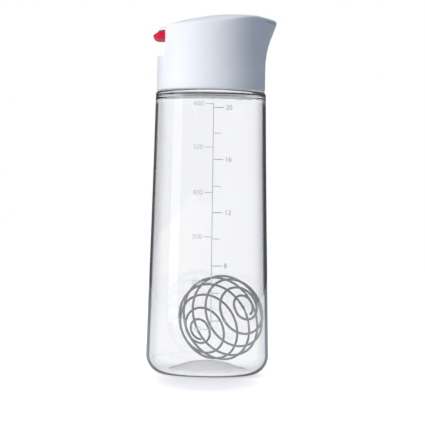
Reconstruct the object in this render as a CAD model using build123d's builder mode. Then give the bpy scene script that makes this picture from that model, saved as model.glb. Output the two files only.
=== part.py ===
"""A salad dressing shaker: a clear tapered bottle, a white screw lid with a pouring beak,
a sprung lever that lifts the pouring flap when its red thumb tab is pressed, and a loose
wire whisk ball inside. Millimetres, +Z up, origin on the table under the bottle's axis,
+X towards the pouring beak."""

import math
import os

from build123d import *

os.makedirs("parts", exist_ok=True)

# Bottle
body_radius = 39.0  # widest, just above the rounded bottom edge
shoulder_radius = 35.05  # top of the tapered wall
wall_waist = 0.26  # how far the wall curves in between those two
corner_radius = 12.5  # rounded bottom edge
foot_width = 2.5  # of the ring that stands on the table
wall_height = 178.0
shoulder_height = 2.0  # rounding at the top of the wall
bottle_wall = 2.2
neck_step = 4.45  # flat ledge between the shoulder and the neck, and the rounding outside it
neck_wall = 2.0
neck_height = 15.5
neck_edge = 0.4  # bevel of the rim that the gasket lies on
floor_height = 9.0  # top of the domed floor, inside
floor_valley_radius = 12.0  # round of the valley between dome and wall
punt_height = 5.6  # hollow under the bottle, at its centre

# Outer form of the lid, with the flap in place
lid_wall = 2.2
thread_gap = 1.6  # neck to the lid's bore, where the threads run
lid_gap = 0.6  # between the shoulder and the lid's lower edge
lid_height = 47.6
crown_sweep_radius = 135.0  # the arc of the top, seen from the side
crown_reach = 15.5  # the arc's highest place, forward of the axis
crown_half_width = 14.0  # the top is flat across for this far, then falls to the sides
crown_side_radius = 46.0
crown_edge = 2.0  # rounding all round the top
skirt_height = 15.4  # plain round wall under the beak
beak_spare_height = 0.8  # how far the beak's form runs on above the lid's top, to be cut by the crown
beak_reach = 8.4  # beyond the lid's wall, at the end height
flank_angle = 38.4  # where the beak's flanks leave the round wall, from the X axis
beak_height_shares = (0.0, 0.18, 0.364, 0.545, 0.727, 0.891, 1.0)
beak_reach_shares = (0.005, 0.054, 0.179, 0.393, 0.667, 0.869, 1.0)

# Lid shell
skirt_edge = 0.6  # bevel of the shell's lower rim
ledge_width = 1.8  # the step inside the shell that the insert's deck is pressed against
ledge_height = 1.6
recess_depth = 5.1  # of the thumb recess, from the back of the lid
recess_floor_height = 1.1  # above the ledge
recess_ceiling_depth = 10.3  # under the lid's top
recess_wall = 2.0
recess_round = 1.2  # between the recess's floor and its wall
arm_slot_half_width = 14.0
arm_slot_sill_share = 0.29  # of the recess's height
trough_back_gap = 0.4  # behind the chimney
trough_wall = 1.4
trough_depth = 1.0  # of its floor under the chimney's rim
trough_back_height = 5.0
lug_radius = 3.0
lug_thickness = 3.0

# Spout insert, which closes the bottle's mouth under the shell, and its gasket
gasket_thickness = 1.8
gasket_width = 2.4
gasket_gap = 0.1  # above and below the gasket
gasket_plug_gap = 0.3  # gasket to the insert's plug ring
deck_thickness = 1.8
deck_gap = 0.2  # deck to the shell's bore
plug_gap = 0.2  # plug ring to the neck's bore
plug_wall = 1.2
plug_depth = 2.4
chimney_plug_gap = 0.2  # inside the plug ring
chimney_bore = 8.0
chimney_wall = 1.6
chimney_depth = 12.2  # of its rim under the lid's top
chimney_gap = 0.2  # chimney to the trough's floor
chimney_foot = 1.2  # bevel where it leaves the deck
spring_post_radius = 1.5
spring_post_height = 2.5

# Lever: flap, hinge barrel, arm and apron in one moulding
pivot_reach = 12.0  # behind the axis
pivot_depth = 7.0  # under the lid's top
pin_radius = 1.2
pin_gap = 0.05  # pin to its holes
pin_end_gap = 0.2  # pin's ends to the lugs' outer faces
barrel_radius = 2.6
flap_half_width = 11.6
flap_thickness = 2.2
flap_side_gap = 0.4
flap_seat_gap = 0.3  # under the flap, on the beak's rim
flap_tail = 2.2  # behind the pivot
flap_back_gap = 1.2
rib_place = 8.0  # of the two ribs under the flap, from the middle
rib_thickness = 1.2
rib_depth = 1.8
arm_half_width = 9.0
arm_thickness = 3.6
arm_end_gap = 0.8  # to the recess's wall
arm_drop = 3.9  # of its upper face at the end, under the pivot
apron_thickness = 1.4
apron_lap = 1.0  # beyond the arm's slot, each side
apron_drop = 0.4  # under the arm's slot
tongue_thickness = 1.8
tongue_length = 6.0
pad_radius = 3.0
pad_reach = 5.0  # behind the pivot, where the spring pushes
pad_depth = 5.8  # under the pivot

# Thumb tab, clipped on the lever's tongue
tongue_gap = 0.05
tab_length = 10.7
tab_half_width = 13.0
tab_corner = 5.0
tab_step = 0.1  # of its top under the arm's upper face
tab_thickness = 4.6
tab_nose_height = 2.0  # above its underside
tab_top_length = 4.6
tab_bottom_length = 7.6
tab_edge = 0.5

# Silicone seal under the flap
seal_radius = 9.2
seal_thickness = 2.2
seal_edge = 0.4
seal_gap = 0.3  # to the chimney's rim
seal_plug_gap = 0.4
seal_plug_depth = 1.4
seal_boss_radius = 5.5
seal_stud_radius = 2.5
seal_stud_depth = 1.4
seal_stud_gap = 0.05

# Lever spring
spring_wire = 0.8
spring_coil_radius = 2.4  # to the middle of the wire
spring_turns = 4
spring_end_height = 1.3  # climb of the first and of the last turn
spring_end_gap = 0.1

# Wire whisk ball
ball_radius = 27.4  # to the outside of the wire
ball_wire = 1.5
ball_rest_gap = 0.3
ball_axis = Vector(0.525, -0.784, 0.331).normalized()  # towards the loop that faces the front
ball_pitch_angle = 20.06  # from one turn to the next, seen from the centre
ball_loop_angle = 14.83  # half the angle of the small loop at each end
ball_first_turn = -42.0  # where the wire begins, round the axis
ball_loop_end = 209.5  # where the first loop opens into the spiral

wire_sides = 6  # both wires are drawn with so many flats
cut_overrun = 10.0  # how far every cutting body runs past what it cuts

# Places that follow from the sizes
shoulder_top = wall_height + shoulder_height
neck_radius = shoulder_radius - neck_step
neck_bore = neck_radius - neck_wall
neck_top = shoulder_top + neck_height
lid_bottom = shoulder_top + lid_gap
lid_top = lid_bottom + lid_height
lid_bore = neck_radius + thread_gap
lid_radius = lid_bore + lid_wall
lid_reach = lid_radius + beak_reach
beak_start = lid_bottom + skirt_height
beak_end = lid_top + beak_spare_height
crown_centre = (crown_reach, lid_top - crown_sweep_radius)  # of the top's arc, as X and height
gasket_bottom = neck_top + gasket_gap
deck_bottom = gasket_bottom + gasket_thickness + gasket_gap
deck_top = deck_bottom + deck_thickness
ledge_top = deck_top + ledge_height
recess_plane = lid_radius - recess_depth
recess_back = recess_plane - recess_wall
recess_floor = ledge_top + recess_floor_height
recess_ceiling = lid_top - recess_ceiling_depth
arm_slot_bottom = recess_floor + (recess_ceiling - recess_floor) * arm_slot_sill_share
plug_radius = neck_bore - plug_gap
chimney_radius = chimney_bore + chimney_wall
chimney_reach = plug_radius - plug_wall - chimney_plug_gap - chimney_bore
chimney_top = lid_top - chimney_depth
trough_back = chimney_reach - chimney_radius - trough_back_gap
trough_floor = chimney_top - trough_depth
pivot_height = lid_top - pivot_depth
flap_back = pivot_reach + flap_tail
arm_end = recess_back - arm_end_gap
arm_end_height = pivot_height - arm_drop
apron_bottom = arm_slot_bottom - apron_drop
spring_reach = pivot_reach + pad_reach
pad_height = pivot_height - pad_depth
tab_reach = arm_end + tab_length
tab_top = arm_end_height - tab_step
tab_bottom = tab_top - tab_thickness
tab_tip_height = tab_bottom + tab_nose_height
slot_half_width = flap_half_width + flap_side_gap
seal_bottom = chimney_top + seal_gap
seal_top = seal_bottom + seal_thickness
far_back = -(lid_radius + cut_overrun)
far_front = lid_reach + cut_overrun
far_up = lid_top + cut_overrun


def patch(back, front, bottom, top):
    """A rectangle seen from the side, between two places along X and two heights."""
    with BuildSketch() as shape:
        with Locations(((back + front) / 2, (bottom + top) / 2)):
            Rectangle(front - back, top - bottom)
    return shape.sketch


# Bottle: one revolved outline, up the outside, over the rim and down the inside
foot_radius = body_radius - corner_radius
foot_inner = foot_radius - foot_width
floor_drop = floor_height - bottle_wall
dome_and_valley = (foot_radius**2 + floor_drop**2) / (2 * floor_drop)
dome_radius = dome_and_valley - floor_valley_radius
dome_centre = floor_height - dome_radius
valley_share = dome_radius / dome_and_valley
valley_centre = bottle_wall + floor_valley_radius
valley_end = (foot_radius * valley_share, dome_centre + (valley_centre - dome_centre) * valley_share)
corner_end = (body_radius, corner_radius)
wall_end = (shoulder_radius, wall_height)
shoulder_end = (shoulder_radius - shoulder_top + wall_height, shoulder_top)
inner_body = body_radius - bottle_wall
inner_shoulder = shoulder_radius - bottle_wall
inner_wall_start = (inner_body, corner_radius)
inner_wall_end = (inner_shoulder, wall_height - inner_shoulder + neck_bore)


def wall_middle(lower, upper):
    """The middle of the wall's gentle curve, drawn in from the straight taper."""
    return ((lower[0] + upper[0]) / 2 - wall_waist, (lower[1] + upper[1]) / 2)


with BuildPart() as bottle:
    with BuildSketch(Plane.XZ):
        with BuildLine():
            TangentArc((0, punt_height), (foot_inner, 0), tangent=(1, 0))
            Line((foot_inner, 0), (foot_radius, 0))
            TangentArc((foot_radius, 0), corner_end, tangent=(1, 0))
            ThreePointArc(corner_end, wall_middle(corner_end, wall_end), wall_end)
            TangentArc(wall_end, shoulder_end, tangent=(0, 1))
            Line(shoulder_end, (neck_radius, shoulder_top))
            Line((neck_radius, shoulder_top), (neck_radius, neck_top))
            Line((neck_radius, neck_top), (neck_bore, neck_top))
            Line((neck_bore, neck_top), (neck_bore, wall_height))
            TangentArc((neck_bore, wall_height), inner_wall_end, tangent=(1, 0))
            ThreePointArc(inner_wall_end, wall_middle(inner_wall_start, inner_wall_end), inner_wall_start)
            TangentArc(inner_wall_start, (foot_radius, bottle_wall), tangent=(0, -1))
            TangentArc((foot_radius, bottle_wall), valley_end, tangent=(-1, 0))
            TangentArc((0, floor_height), valley_end, tangent=(1, 0))
            Line((0, floor_height), (0, punt_height))
        make_face()
    revolve(axis=Axis.Z)
    chamfer(bottle.edges().filter_by(GeomType.CIRCLE).group_by(Axis.Z)[-1], neck_edge)


# Lid form: a round wall that grows a beak as it rises, under a crown that arches two ways
def beak_outline(inset, reach_share):
    """The lid's outline at one height: a round wall whose beak has flanks tangent to it."""
    radius = lid_radius - inset
    reach = radius + beak_reach * reach_share
    cosine = math.cos(math.radians(flank_angle))
    sine = math.sin(math.radians(flank_angle))
    tip_radius = (radius - reach * cosine) / (1 - cosine)
    flank = (radius * cosine, radius * sine)
    tip_flank = (reach - tip_radius + tip_radius * cosine, tip_radius * sine)
    with BuildSketch() as outline:
        with BuildLine():
            ThreePointArc(flank, (-radius, 0), (flank[0], -flank[1]))
            Line((flank[0], -flank[1]), (tip_flank[0], -tip_flank[1]))
            ThreePointArc((tip_flank[0], -tip_flank[1]), (reach, 0), tip_flank)
            Line(tip_flank, flank)
        make_face()
    return outline.sketch


def crown_section(inset):
    """The crown seen from the front, down to its sweep's axis: flat, then falling to the sides."""
    height = crown_sweep_radius - inset
    side_radius = crown_side_radius - inset
    side_run = lid_reach - crown_half_width
    side_height = height - side_radius + math.sqrt(side_radius**2 - side_run**2)
    with BuildSketch() as section:
        with BuildLine():
            Line((-crown_half_width, height), (crown_half_width, height))
            TangentArc((crown_half_width, height), (lid_reach, side_height), tangent=(1, 0))
            Polyline((lid_reach, side_height), (lid_reach, 0), (-lid_reach, 0), (-lid_reach, side_height))
            TangentArc((-crown_half_width, height), (-lid_reach, side_height), tangent=(-1, 0))
        make_face()
    return section.sketch


def lid_blank(inset):
    """The lid's outer form, or the form of its hollow, which lies inset from it all round."""
    with BuildPart() as blank:
        with BuildSketch(Plane.XY.offset(lid_bottom)):
            add(beak_outline(inset, beak_reach_shares[0]))
        extrude(amount=beak_start - lid_bottom)
        for height_share, reach_share in zip(beak_height_shares, beak_reach_shares):
            with BuildSketch(Plane.XY.offset(beak_start + (beak_end - beak_start) * height_share)):
                add(beak_outline(inset, reach_share))
        loft()
        sweep_axis = Axis((crown_centre[0], 0, crown_centre[1]), (0, 1, 0))
        with BuildSketch(Plane(sweep_axis.position, x_dir=(0, 1, 0), z_dir=(1, 0, 0))):
            add(crown_section(inset))
        revolve(axis=sweep_axis, mode=Mode.INTERSECT)
    return blank.part


with BuildPart() as lid_form:
    add(lid_blank(0))
    crown_faces = lid_form.faces().filter_by(lambda face: face.normal_at().Z > 0.5)
    flank_faces = lid_form.faces() - crown_faces
    fillet(crown_faces.edges() & flank_faces.edges(), crown_edge)

with BuildPart() as lid_hollow:
    add(lid_blank(lid_wall))
    split(bisect_by=Plane.XY.offset(ledge_top), keep=Keep.TOP)

# Solid stock at the back of the lid, which the thumb recess is cut from
with BuildPart() as recess_stock:
    add(lid_form.part)
    with BuildSketch(Plane.XZ):
        add(patch(far_back, -recess_back, recess_floor - recess_wall, far_up))
    extrude(amount=lid_reach, both=True, mode=Mode.INTERSECT)

# Pouring trough inside the beak, round the chimney's rim
with BuildPart() as trough_space:
    add(lid_hollow.part)
    with BuildSketch(Plane.XZ):
        add(patch(trough_back, far_front, trough_floor, far_up))
    extrude(amount=slot_half_width, both=True, mode=Mode.INTERSECT)

with BuildPart() as trough:
    add(lid_form.part)
    with BuildSketch(Plane.XZ):
        add(patch(trough_back - trough_wall, far_front, trough_floor - trough_wall, far_up))
    extrude(amount=slot_half_width + trough_wall, both=True, mode=Mode.INTERSECT)
    add(trough_space.part, mode=Mode.SUBTRACT)
    with BuildSketch(Plane.XZ):
        add(patch(0, trough_back, trough_floor + trough_back_height, far_up))
    extrude(amount=slot_half_width, both=True, mode=Mode.SUBTRACT)
    with BuildSketch(Plane.XY.offset(trough_floor - trough_wall)):
        with Locations((chimney_reach, 0)):
            Circle(chimney_radius + chimney_gap)
    extrude(amount=trough_wall, mode=Mode.SUBTRACT)

# Two lugs that hang from the crown and hold the lever's pin
with BuildPart() as lugs:
    add(lid_form.part)
    with BuildSketch(Plane.XZ):
        with Locations((-pivot_reach, pivot_height)):
            Circle(lug_radius)
        add(patch(-pivot_reach - lug_radius, lug_radius - pivot_reach, pivot_height, far_up))
    extrude(amount=slot_half_width + lug_thickness, both=True, mode=Mode.INTERSECT)
    with BuildSketch(Plane.XZ):
        add(patch(-pivot_reach - lug_radius, lug_radius - pivot_reach, pivot_height - lug_radius, far_up))
    extrude(amount=slot_half_width, both=True, mode=Mode.SUBTRACT)
    with BuildSketch(Plane.XZ):
        with Locations((-pivot_reach, pivot_height)):
            Circle(pin_radius + pin_gap)
    extrude(amount=slot_half_width + lug_thickness, both=True, mode=Mode.SUBTRACT)

with BuildPart() as lid_shell:
    add(lid_form.part)
    with BuildSketch(Plane.XY.offset(lid_bottom)):
        Circle(lid_bore)
    extrude(amount=deck_top - lid_bottom, mode=Mode.SUBTRACT)
    with BuildSketch(Plane.XY.offset(deck_top)):
        Circle(lid_bore - ledge_width)
    extrude(amount=ledge_height, mode=Mode.SUBTRACT)
    add(lid_hollow.part, mode=Mode.SUBTRACT)
    add([recess_stock.part, trough.part, lugs.part])
    # slot for the flap, down to the rim that its nose closes on
    with BuildSketch(Plane.XZ):
        add(patch(-flap_back - flap_back_gap, far_front, crown_centre[1], far_up))
        with Locations(crown_centre):
            Circle(crown_sweep_radius - flap_thickness - flap_seat_gap, mode=Mode.SUBTRACT)
    extrude(amount=slot_half_width, both=True, mode=Mode.SUBTRACT)
    # thumb recess, and the slot in its wall for the lever's arm
    with BuildSketch(Plane.XZ) as recess_side:
        add(patch(far_back, -recess_plane, recess_floor, recess_ceiling))
        fillet(recess_side.vertices().group_by(Axis.X)[-1].sort_by(Axis.Y)[0], recess_round)
    extrude(amount=lid_reach, both=True, mode=Mode.SUBTRACT)
    with BuildSketch(Plane.XZ):
        add(patch(-recess_plane - recess_wall, recess_wall - recess_back, arm_slot_bottom, recess_ceiling))
    extrude(amount=arm_slot_half_width, both=True, mode=Mode.SUBTRACT)
    chamfer(lid_shell.edges().group_by(Axis.Z)[0], skirt_edge)

# Gasket on the bottle's rim
with BuildPart() as lid_gasket:
    with BuildSketch(Plane.XY.offset(gasket_bottom)):
        Circle(plug_radius + gasket_plug_gap + gasket_width)
        Circle(plug_radius + gasket_plug_gap, mode=Mode.SUBTRACT)
    extrude(amount=gasket_thickness)

# Spout insert: deck, plug ring, chimney and the post that holds the spring
with BuildPart() as spout_insert:
    with BuildSketch(Plane.XY.offset(deck_bottom)):
        Circle(lid_bore - deck_gap)
    extrude(amount=deck_thickness)
    with BuildSketch(Plane.XY.offset(deck_bottom)):
        Circle(plug_radius)
        Circle(plug_radius - plug_wall, mode=Mode.SUBTRACT)
    extrude(amount=-plug_depth)
    with BuildSketch(Plane.XY.offset(deck_top)):
        with Locations((chimney_reach, 0)):
            Circle(chimney_radius)
    extrude(amount=chimney_top - deck_top)
    chimney_edges = spout_insert.edges().filter_by(GeomType.CIRCLE)
    chimney_edges = chimney_edges.filter_by(lambda edge: abs(edge.radius - chimney_radius) < deck_gap)
    chamfer(chimney_edges.sort_by(Axis.Z)[0], chimney_foot)
    with BuildSketch(Plane.XY.offset(deck_bottom)):
        with Locations((chimney_reach, 0)):
            Circle(chimney_bore)
    extrude(amount=chimney_top - deck_bottom, mode=Mode.SUBTRACT)
    with BuildSketch(Plane.XY.offset(deck_top)):
        with Locations((-spring_reach, 0)):
            Circle(spring_post_radius)
    extrude(amount=spring_post_height)

# Pour lever, cut from the lid's own form so that the flap lies flush in the crown
arm_slope = (pivot_height + arm_thickness / 2 - arm_end_height) / (arm_end - pivot_reach)
pad_root = pivot_height - arm_slope * (spring_reach - pivot_reach)
tongue_bottom = (tab_top + tab_bottom - tongue_thickness) / 2
flap_underside = crown_sweep_radius - flap_thickness
with BuildPart() as pour_lever:
    add(lid_form.part)
    with BuildSketch(Plane.XZ):
        add(patch(-flap_back, far_front, pivot_height, far_up))
        with Locations(crown_centre):
            Circle(flap_underside, mode=Mode.SUBTRACT)
    extrude(amount=flap_half_width, both=True, mode=Mode.INTERSECT)
    # hinge barrel and the arm behind it
    with BuildSketch(Plane.XZ):
        with Locations((-pivot_reach, pivot_height)):
            Circle(barrel_radius)
    extrude(amount=flap_half_width, both=True)
    with BuildSketch(Plane.XZ):
        Polygon(
            (-pivot_reach, pivot_height + arm_thickness / 2),
            (-arm_end, arm_end_height),
            (-arm_end, arm_end_height - arm_thickness),
            (-pivot_reach, pivot_height - arm_thickness / 2),
            align=None,
        )
        add(patch(-arm_end - tongue_length, -arm_end, tongue_bottom, tongue_bottom + tongue_thickness))
    extrude(amount=arm_half_width, both=True)
    with BuildSketch(Plane.XZ):
        add(patch(-arm_end, apron_thickness - arm_end, apron_bottom, arm_end_height))
    extrude(amount=arm_slot_half_width + apron_lap, both=True)
    # two ribs under the flap
    with BuildSketch(Plane.XZ.offset(rib_place - rib_thickness / 2)):
        with Locations(crown_centre):
            Circle(flap_underside + flap_thickness / 2)
            Circle(flap_underside - rib_depth, mode=Mode.SUBTRACT)
        rib_span = patch(-pivot_reach, chimney_reach + seal_boss_radius, pivot_height, far_up)
        add(rib_span, mode=Mode.INTERSECT)
    ribs = extrude(amount=rib_thickness)
    mirror(ribs, about=Plane.XZ)
    # boss and stud that carry the seal
    with BuildSketch(Plane.XY.offset(seal_top)):
        with Locations((chimney_reach, 0)):
            Circle(seal_boss_radius)
    extrude(amount=lid_top - flap_thickness / 2 - seal_top)
    with BuildSketch(Plane.XY.offset(seal_top)):
        with Locations((chimney_reach, 0)):
            Circle(seal_stud_radius)
    extrude(amount=-seal_stud_depth)
    # pad and post for the spring
    with BuildSketch(Plane.XY.offset(pad_height)):
        with Locations((-spring_reach, 0)):
            Circle(pad_radius)
    extrude(amount=pad_root - pad_height)
    with BuildSketch(Plane.XY.offset(pad_height)):
        with Locations((-spring_reach, 0)):
            Circle(spring_post_radius)
    extrude(amount=-spring_post_height)
    with BuildSketch(Plane.XZ):
        with Locations((-pivot_reach, pivot_height)):
            Circle(pin_radius + pin_gap)
    extrude(amount=flap_half_width, both=True, mode=Mode.SUBTRACT)

# Thumb tab: a wedge with a rounded nose, and the pocket that the tongue fills
tab_nose = (-tab_reach, tab_tip_height)
tab_top_end = (-arm_end - tab_top_length, tab_top)
tab_bottom_end = (-arm_end - tab_bottom_length, tab_bottom)
with BuildPart() as thumb_tab:
    with BuildSketch(Plane.XZ):
        with BuildLine():
            Polyline(tab_bottom_end, (-arm_end, tab_bottom), (-arm_end, tab_top), tab_top_end)
            TangentArc(tab_top_end, tab_nose, tangent=(-1, 0))
            TangentArc(tab_bottom_end, tab_nose, tangent=(-1, 0))
        make_face()
    extrude(amount=tab_half_width, both=True)
    with BuildSketch(Plane.XY.offset(tab_bottom)) as tab_plan:
        with Locations((-(tab_reach + arm_end) / 2, 0)):
            Rectangle(tab_reach - arm_end, 2 * tab_half_width)
        fillet(tab_plan.vertices().group_by(Axis.X)[0], tab_corner)
    extrude(amount=tab_top - tab_bottom, mode=Mode.INTERSECT)
    fillet(thumb_tab.edges().group_by(Axis.X)[0], tab_edge)
    with BuildSketch(Plane.XZ):
        add(
            patch(
                -arm_end - tongue_length - tongue_gap,
                -arm_end,
                tongue_bottom - tongue_gap,
                tongue_bottom + tongue_thickness + tongue_gap,
            )
        )
    extrude(amount=arm_half_width + tongue_gap, both=True, mode=Mode.SUBTRACT)

# Silicone seal: a disc over the chimney's rim and a plug in its bore
with BuildPart() as spout_seal:
    with BuildSketch(Plane.XY.offset(seal_bottom)):
        with Locations((chimney_reach, 0)):
            Circle(seal_radius)
    extrude(amount=seal_thickness)
    with BuildSketch(Plane.XY.offset(seal_bottom)):
        with Locations((chimney_reach, 0)):
            Circle(chimney_bore - seal_plug_gap)
    extrude(amount=-seal_plug_depth)
    outer_edges = spout_seal.edges().group_by(Axis.Z)
    chamfer(outer_edges[0] + outer_edges[-1], seal_edge)
    with BuildSketch(Plane.XY.offset(seal_top)):
        with Locations((chimney_reach, 0)):
            Circle(seal_stud_radius + seal_stud_gap)
    extrude(amount=-seal_stud_depth - seal_stud_gap, mode=Mode.SUBTRACT)

with BuildPart() as hinge_pin:
    with BuildSketch(Plane.XZ):
        with Locations((-pivot_reach, pivot_height)):
            Circle(pin_radius)
    extrude(amount=slot_half_width + lug_thickness - pin_end_gap, both=True)
    chamfer(hinge_pin.edges().filter_by(GeomType.CIRCLE), pin_end_gap)


# Wound forms: a wire swept along arcs, two arcs from each point of the winding to the next
def biarc_joint(start, start_way, end, end_way):
    """Where two arcs meet that leave one point and reach another, each along its own way."""
    step = end - start
    ways = start_way + end_way
    turned = 2 * (1 - start_way.dot(end_way))
    reach = (math.sqrt(step.dot(ways) ** 2 + turned * step.dot(step)) - step.dot(ways)) / turned
    return (start + end + (start_way - end_way) * reach) / 2


def wire_path(places, ways):
    """One line of tangent arcs through all places, along the given way at each."""
    with BuildLine() as path:
        for number in range(len(places) - 1):
            joint = biarc_joint(places[number], ways[number], places[number + 1], ways[number + 1])
            TangentArc(places[number], joint, tangent=ways[number])
            TangentArc(places[number + 1], joint, tangent=-ways[number + 1])
    return path.wire()


def wound_wire(path, radius):
    """A wire of many flats swept along a path."""
    with BuildPart() as wire:
        add(path)
        with BuildSketch(Plane(path @ 0, z_dir=path % 0)):
            RegularPolygon(radius, wire_sides)
        sweep(path=path)
    return wire.part


def least_gap(path, length_apart, diameter):
    """The least clear space between stretches of a wire that lie further apart along it."""
    count = int(path.length / diameter * 2)
    points = [path.position_at(number / count) for number in range(count + 1)]
    apart = int(length_apart / path.length * count) + 1
    nearest = min(
        (points[first] - points[second]).length
        for first in range(count + 1)
        for second in range(first + apart, count + 1)
    )
    return nearest - diameter


# Lever spring: it winds up round its own upright axis, closer at both ends
spring_bottom = deck_top + spring_end_gap + spring_wire / 2
spring_top = pad_height - spring_end_gap - spring_wire / 2
open_pitch = (spring_top - spring_bottom - 2 * spring_end_height) / (spring_turns - 2)


def spring_place(turn):
    """The middle of the spring's wire after so many turns."""
    open_turns = min(max(turn - 1, 0), spring_turns - 2)
    height = spring_bottom + spring_end_height * (turn - open_turns) + open_pitch * open_turns
    angle = math.radians(360 * turn)
    across = Vector(math.cos(angle), math.sin(angle), 0) * spring_coil_radius
    return Vector(-spring_reach, 0, height) + across


def spring_way(turn):
    """The direction in which the spring's wire runs after so many turns."""
    near = 0.001
    return (spring_place(turn + near) - spring_place(turn - near)).normalized()


spring_steps = [number / 2 for number in range(2 * spring_turns + 1)]
spring_places = [spring_place(turn) for turn in spring_steps]
spring_path = wire_path(spring_places, [spring_way(turn) for turn in spring_steps])
with BuildPart() as lever_spring:
    add(wound_wire(spring_path, spring_wire / 2))
print("spring gap", round(least_gap(spring_path, math.pi * spring_coil_radius, spring_wire), 2))

# Whisk ball: a spiral on a sphere, with a closed-looking loop at each end. It rests in the
# valley of the floor, against the wall towards the beak.
ball_centre_reach = 0.0
ball_centre_height = ball_radius
for _ in range(8):
    height_share = (ball_centre_height - corner_radius) / (wall_height - corner_radius)
    wall_here = inner_body + (inner_shoulder - inner_body) * height_share
    wall_here -= 4 * wall_waist * height_share * (1 - height_share)
    ball_centre_reach = wall_here - ball_radius - ball_rest_gap
    dome_distance = dome_radius + ball_radius + ball_rest_gap
    ball_centre_height = dome_centre + math.sqrt(dome_distance**2 - ball_centre_reach**2)
ball_centre = Vector(ball_centre_reach, 0, ball_centre_height)
ball_side = (Vector(1, 0, 0) - ball_axis * ball_axis.X).normalized()
ball_up = ball_axis.cross(ball_side)
ball_spiral_turn = 360 * (180 - 2 * ball_loop_angle) / ball_pitch_angle
ball_last_turn = 2 * ball_loop_end + ball_spiral_turn - ball_first_turn


def ball_place(turn):
    """The middle of the ball's wire at a turn round its axis, in degrees."""
    wound = min(max(turn - ball_loop_end, 0), ball_spiral_turn)
    spread = math.radians(ball_loop_angle + ball_pitch_angle * wound / 360)
    angle = math.radians(turn)
    outward = ball_side * math.cos(angle) + ball_up * math.sin(angle)
    direction = ball_axis * math.cos(spread) + outward * math.sin(spread)
    return ball_centre + direction * (ball_radius - ball_wire / 2)


def ball_way(turn):
    """The direction in which the ball's wire runs at a turn round its axis."""
    near = 0.1
    return (ball_place(turn + near) - ball_place(turn - near)).normalized()


ball_steps = math.ceil((ball_last_turn - ball_first_turn) / 180)
ball_step = (ball_last_turn - ball_first_turn) / ball_steps
ball_turns = [ball_first_turn + ball_step * number for number in range(ball_steps + 1)]
ball_path = wire_path([ball_place(turn) for turn in ball_turns], [ball_way(turn) for turn in ball_turns])
with BuildPart() as wire_whisk_ball:
    add(wound_wire(ball_path, ball_wire / 2))
print("ball gap", round(least_gap(ball_path, ball_radius / 2, ball_wire), 2))
print("ball centre", round(ball_centre.X, 2), round(ball_centre.Z, 2))

pieces = {
    "bottle": bottle,
    "wire_whisk_ball": wire_whisk_ball,
    "lid_gasket": lid_gasket,
    "lid_shell": lid_shell,
    "spout_insert": spout_insert,
    "pour_lever": pour_lever,
    "thumb_tab": thumb_tab,
    "spout_seal": spout_seal,
    "hinge_pin": hinge_pin,
    "lever_spring": lever_spring,
}
for name, piece in pieces.items():
    piece.part.label = name
    export_step(piece.part, f"parts/{name}.step")
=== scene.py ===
import math

import bpy
from mathutils import Matrix, Vector


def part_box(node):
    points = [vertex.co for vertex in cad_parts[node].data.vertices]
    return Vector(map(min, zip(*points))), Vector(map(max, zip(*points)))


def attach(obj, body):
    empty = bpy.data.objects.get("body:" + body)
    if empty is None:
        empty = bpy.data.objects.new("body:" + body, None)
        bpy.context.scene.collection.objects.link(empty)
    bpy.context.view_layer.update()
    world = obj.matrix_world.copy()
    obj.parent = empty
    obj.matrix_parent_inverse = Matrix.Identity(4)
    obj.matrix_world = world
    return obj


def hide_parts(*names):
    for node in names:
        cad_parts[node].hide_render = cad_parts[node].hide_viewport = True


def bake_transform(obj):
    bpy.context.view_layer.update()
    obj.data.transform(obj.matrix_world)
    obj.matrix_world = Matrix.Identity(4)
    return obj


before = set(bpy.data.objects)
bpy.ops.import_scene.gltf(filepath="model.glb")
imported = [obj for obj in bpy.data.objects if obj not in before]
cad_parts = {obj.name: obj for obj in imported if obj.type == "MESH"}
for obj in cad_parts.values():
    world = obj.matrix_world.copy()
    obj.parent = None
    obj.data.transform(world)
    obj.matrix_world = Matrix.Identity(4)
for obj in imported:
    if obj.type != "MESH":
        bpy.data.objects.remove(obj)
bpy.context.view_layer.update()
mm = 0.001
print("frame loaded:", ", ".join(sorted(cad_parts)))


# Node trees in general: a socket takes another node's output or a plain value
def feed(tree, socket, value):
    if isinstance(value, bpy.types.NodeSocket):
        tree.links.new(value, socket)
    else:
        socket.default_value = value


def feedAll(tree, sockets, values):
    for name, value in values.items():
        feed(tree, sockets[name], value)


def addNode(tree, kind, inputs=None, **settings):
    node = tree.nodes.new(kind)
    for setting, value in settings.items():
        setattr(node, setting, value)
    feedAll(tree, node.inputs, inputs or {})
    return node


def maths(tree, operation, *values):
    return addNode(tree, "ShaderNodeMath", dict(enumerate(values)), operation=operation).outputs[0]


# What is left of 1
def inverse(tree, value):
    return maths(tree, "SUBTRACT", 1.0, value)


def vectorMaths(tree, operation, *values):
    return addNode(tree, "ShaderNodeVectorMath", dict(enumerate(values)), operation=operation).outputs


# 0 up to low, 1 from high, and an eased climb between them
def softStep(tree, value, low, high):
    inputs = {"Value": value, "From Min": low, "From Max": high}
    return addNode(tree, "ShaderNodeMapRange", inputs, interpolation_type="SMOOTHSTEP").outputs["Result"]


def mixTones(tree, share, first, second):
    inputs = {"Factor": share, 6: first, 7: second}  # by number: other sockets are called A and B too
    return addNode(tree, "ShaderNodeMix", inputs, data_type="RGBA").outputs[2]


def noise(tree, place, scale, detail, roughness=0.5):
    inputs = {"Vector": place, "Scale": scale, "Detail": detail, "Roughness": roughness}
    return addNode(tree, "ShaderNodeTexNoise", inputs).outputs["Fac"]


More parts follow.
